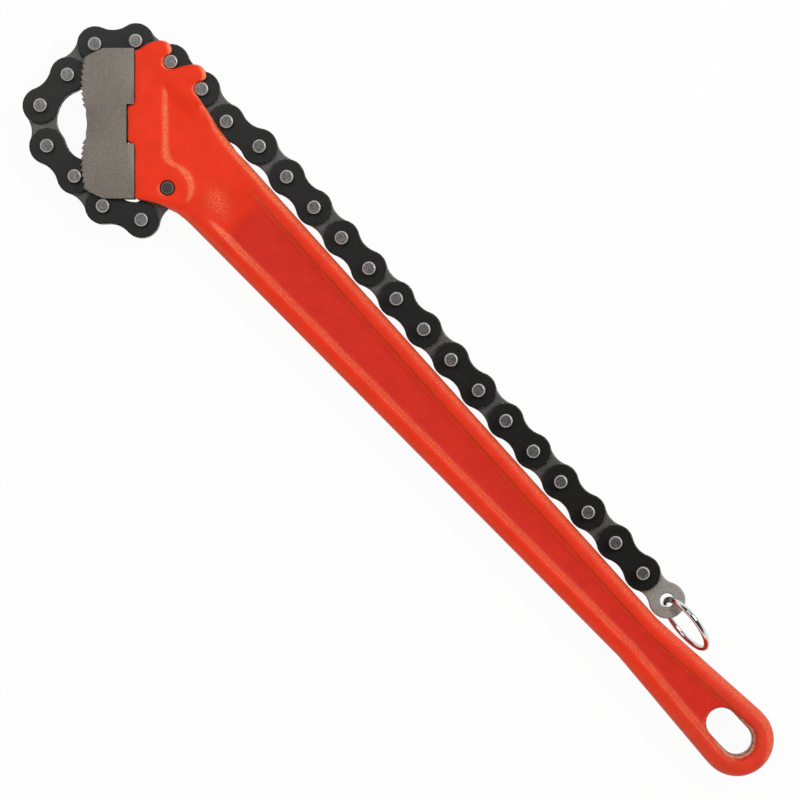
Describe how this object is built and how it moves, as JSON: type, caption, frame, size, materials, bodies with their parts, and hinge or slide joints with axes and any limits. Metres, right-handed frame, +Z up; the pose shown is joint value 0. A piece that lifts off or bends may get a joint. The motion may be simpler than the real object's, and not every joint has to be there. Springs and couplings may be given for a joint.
{
  "type": "chain pipe wrench",
  "caption": "Chain pipe wrench: a forged beam handle whose forked head carries toothed jaw plates, an anchored chain with standing pins, hook lugs and an end ring.",
  "frame": {"origin": "on the resting plane, under the middle of the whole wrench", "axes": "+X along the handle from the head to the tip, +Y towards the side on which the free chain lies, +Z up, square to the flat side"},
  "size_m": [0.4657, 0.0888, 0.03],
  "materials": {
    "handle": "orange-red paint over a rough forging",
    "jaw": "matt grey heat-treated steel",
    "outer_links": "black oiled steel, satin",
    "inner_links": "dark grey rolled steel",
    "pins": "dark steel with bright chamfers",
    "anchor": "dark oiled steel",
    "end_link": "bare grey steel",
    "ring": "bright plated wire"
  },
  "bodies": {
    "handle": {"handle": "handle", "jaw_plate_front": "jaw", "jaw_plate_back": "jaw", "anchor_pin": "anchor"},
    "link_01": {"inner_link_01": "inner_links"},
    "link_02": {"outer_link_02": "outer_links", "link_pins_02": "pins"},
    "link_03": {"inner_link_03": "inner_links"},
    "link_04": {"outer_link_04": "outer_links", "link_pins_04": "pins"},
    "link_05": {"inner_link_05": "inner_links"},
    "link_06": {"outer_link_06": "outer_links", "link_pins_06": "pins"},
    "link_07": {"inner_link_07": "inner_links"},
    "link_08": {"outer_link_08": "outer_links", "link_pins_08": "pins"},
    "link_09": {"inner_link_09": "inner_links"},
    "link_10": {"outer_link_10": "outer_links", "link_pins_10": "pins"},
    "link_11": {"inner_link_11": "inner_links"},
    "link_12": {"outer_link_12": "outer_links", "link_pins_12": "pins"},
    "link_13": {"inner_link_13": "inner_links"},
    "link_14": {"outer_link_14": "outer_links", "link_pins_14": "pins"},
    "link_15": {"inner_link_15": "inner_links"},
    "link_16": {"outer_link_16": "outer_links", "link_pins_16": "pins"},
    "link_17": {"inner_link_17": "inner_links"},
    "link_18": {"outer_link_18": "outer_links", "link_pins_18": "pins"},
    "link_19": {"inner_link_19": "inner_links"},
    "link_20": {"outer_link_20": "outer_links", "link_pins_20": "pins"},
    "link_21": {"inner_link_21": "inner_links"},
    "link_22": {"outer_link_22": "outer_links", "link_pins_22": "pins"},
    "link_23": {"inner_link_23": "inner_links"},
    "link_24": {"outer_link_24": "outer_links", "link_pins_24": "pins"},
    "link_25": {"inner_link_25": "inner_links"},
    "link_26": {"outer_link_26": "outer_links", "link_pins_26": "pins"},
    "link_27": {"end_link": "end_link"},
    "ring": {"end_ring": "ring"}
  },
  "joints": [
    {"name": "link_01_on_anchor", "type": "hinge", "parent": "handle", "child": "link_01", "pos_m": [-0.15252, -0.00836, 0.015], "axis": [0, 0, -1], "range_deg": [0, 25]},
    {"name": "link_02_pivot", "type": "hinge", "parent": "link_01", "child": "link_02", "pos_m": [-0.1502, -0.02727, 0.015], "axis": [0, 0, 1], "range_deg": [0, 42.3]},
    {"name": "link_03_pivot", "type": "hinge", "parent": "link_02", "child": "link_03", "pos_m": [-0.16718, -0.03592, 0.015], "axis": [0, 0, 1], "range_deg": [-26.7, 0]},
    {"name": "link_04_pivot", "type": "hinge", "parent": "link_03", "child": "link_04", "pos_m": [-0.18623, -0.03592, 0.015], "axis": [0, 0, 1], "range_deg": [-9.7, 0]},
    {"name": "link_05_pivot", "type": "hinge", "parent": "link_04", "child": "link_05", "pos_m": [-0.20527, -0.03559, 0.015], "axis": [0, 0, 1], "range_deg": [0, 11.5]},
    {"name": "link_06_pivot", "type": "hinge", "parent": "link_05", "child": "link_06", "pos_m": [-0.22107, -0.02493, 0.015], "axis": [0, 0, 1], "range_deg": [0, 14.7]},
    {"name": "link_07_pivot", "type": "hinge", "parent": "link_06", "child": "link_07", "pos_m": [-0.22273, -0.00596, 0.015], "axis": [0, 0, 1], "range_deg": [-32.7, 0]},
    {"name": "link_08_pivot", "type": "hinge", "parent": "link_07", "child": "link_08", "pos_m": [-0.22439, 0.01302, 0.015], "axis": [0, 0, 1], "range_deg": [0, 34.7]},
    {"name": "link_09_pivot", "type": "hinge", "parent": "link_08", "child": "link_09", "pos_m": [-0.2124, 0.02783, 0.015], "axis": [0, 0, 1], "range_deg": [-15.2, 0]},
    {"name": "link_10_pivot", "type": "hinge", "parent": "link_09", "child": "link_10", "pos_m": [-0.19409, 0.03308, 0.015], "axis": [0, 0, 1], "range_deg": [0, 9.7]},
    {"name": "link_11_pivot", "type": "hinge", "parent": "link_10", "child": "link_11", "pos_m": [-0.17511, 0.03474, 0.015], "axis": [0, 0, 1], "range_deg": [0, 42]},
    {"name": "link_12_pivot", "type": "hinge", "parent": "link_11", "child": "link_12", "pos_m": [-0.15616, 0.03275, 0.015], "axis": [0, 0, -1], "range_deg": [-45, 0]},
    {"name": "link_13_pivot", "type": "hinge", "parent": "link_12", "child": "link_13", "pos_m": [-0.13738, 0.03592, 0.015], "axis": [0, 0, 1], "range_deg": [0, 42]},
    {"name": "link_14_pivot", "type": "hinge", "parent": "link_13", "child": "link_14", "pos_m": [-0.11834, 0.03546, 0.015], "axis": [0, 0, -1], "range_deg": [-45, 0]},
    {"name": "link_15_pivot", "type": "hinge", "parent": "link_14", "child": "link_15", "pos_m": [-0.09929, 0.03499, 0.015], "axis": [0, 0, 1], "range_deg": [0, 42]},
    {"name": "link_16_pivot", "type": "hinge", "parent": "link_15", "child": "link_16", "pos_m": [-0.08025, 0.03453, 0.015], "axis": [0, 0, -1], "range_deg": [-48, 0]},
    {"name": "link_17_pivot", "type": "hinge", "parent": "link_16", "child": "link_17", "pos_m": [-0.0612, 0.03407, 0.015], "axis": [0, 0, 1], "range_deg": [0, 44]},
    {"name": "link_18_pivot", "type": "hinge", "parent": "link_17", "child": "link_18", "pos_m": [-0.04216, 0.03361, 0.015], "axis": [0, 0, -1], "range_deg": [-52, 0]},
    {"name": "link_19_pivot", "type": "hinge", "parent": "link_18", "child": "link_19", "pos_m": [-0.02311, 0.03314, 0.015], "axis": [0, 0, 1], "range_deg": [0, 47]},
    {"name": "link_20_pivot", "type": "hinge", "parent": "link_19", "child": "link_20", "pos_m": [-0.00407, 0.03268, 0.015], "axis": [0, 0, -1], "range_deg": [-58, 0]},
    {"name": "link_21_pivot", "type": "hinge", "parent": "link_20", "child": "link_21", "pos_m": [0.01498, 0.03222, 0.015], "axis": [0, 0, 1], "range_deg": [0, 52]},
    {"name": "link_22_pivot", "type": "hinge", "parent": "link_21", "child": "link_22", "pos_m": [0.03402, 0.03175, 0.015], "axis": [0, 0, -1], "range_deg": [-66, 0]},
    {"name": "link_23_pivot", "type": "hinge", "parent": "link_22", "child": "link_23", "pos_m": [0.05306, 0.03129, 0.015], "axis": [0, 0, 1], "range_deg": [0, 60]},
    {"name": "link_24_pivot", "type": "hinge", "parent": "link_23", "child": "link_24", "pos_m": [0.07211, 0.03083, 0.015], "axis": [0, 0, -1], "range_deg": [-76, 0]},
    {"name": "link_25_pivot", "type": "hinge", "parent": "link_24", "child": "link_25", "pos_m": [0.09115, 0.03037, 0.015], "axis": [0, 0, 1], "range_deg": [0, 70]},
    {"name": "link_26_pivot", "type": "hinge", "parent": "link_25", "child": "link_26", "pos_m": [0.1102, 0.02991, 0.015], "axis": [0, 0, -1], "range_deg": [-86, 0]},
    {"name": "link_27_pivot", "type": "hinge", "parent": "link_26", "child": "link_27", "pos_m": [0.12924, 0.02944, 0.015], "axis": [0, 0, 1], "range_deg": [0, 84]},
    {"name": "ring_pivot", "type": "hinge", "parent": "link_27", "child": "ring", "pos_m": [0.14644, 0.02902, 0.015], "axis": [0, 0, -1], "range_deg": [-110, 0]}
  ],
  "couplings": [
    {"joint": "link_02_pivot", "follows": "link_01_on_anchor", "ratio": 1.472},
    {"joint": "link_03_pivot", "follows": "link_01_on_anchor", "ratio": -0.928},
    {"joint": "link_04_pivot", "follows": "link_01_on_anchor", "ratio": -0.336},
    {"joint": "link_05_pivot", "follows": "link_01_on_anchor", "ratio": 0.4},
    {"joint": "link_06_pivot", "follows": "link_01_on_anchor", "ratio": 0.512},
    {"joint": "link_07_pivot", "follows": "link_01_on_anchor", "ratio": -1.136},
    {"joint": "link_08_pivot", "follows": "link_01_on_anchor", "ratio": 1.208},
    {"joint": "link_09_pivot", "follows": "link_01_on_anchor", "ratio": -0.528},
    {"joint": "link_10_pivot", "follows": "link_01_on_anchor", "ratio": 0.336}
  ]
}
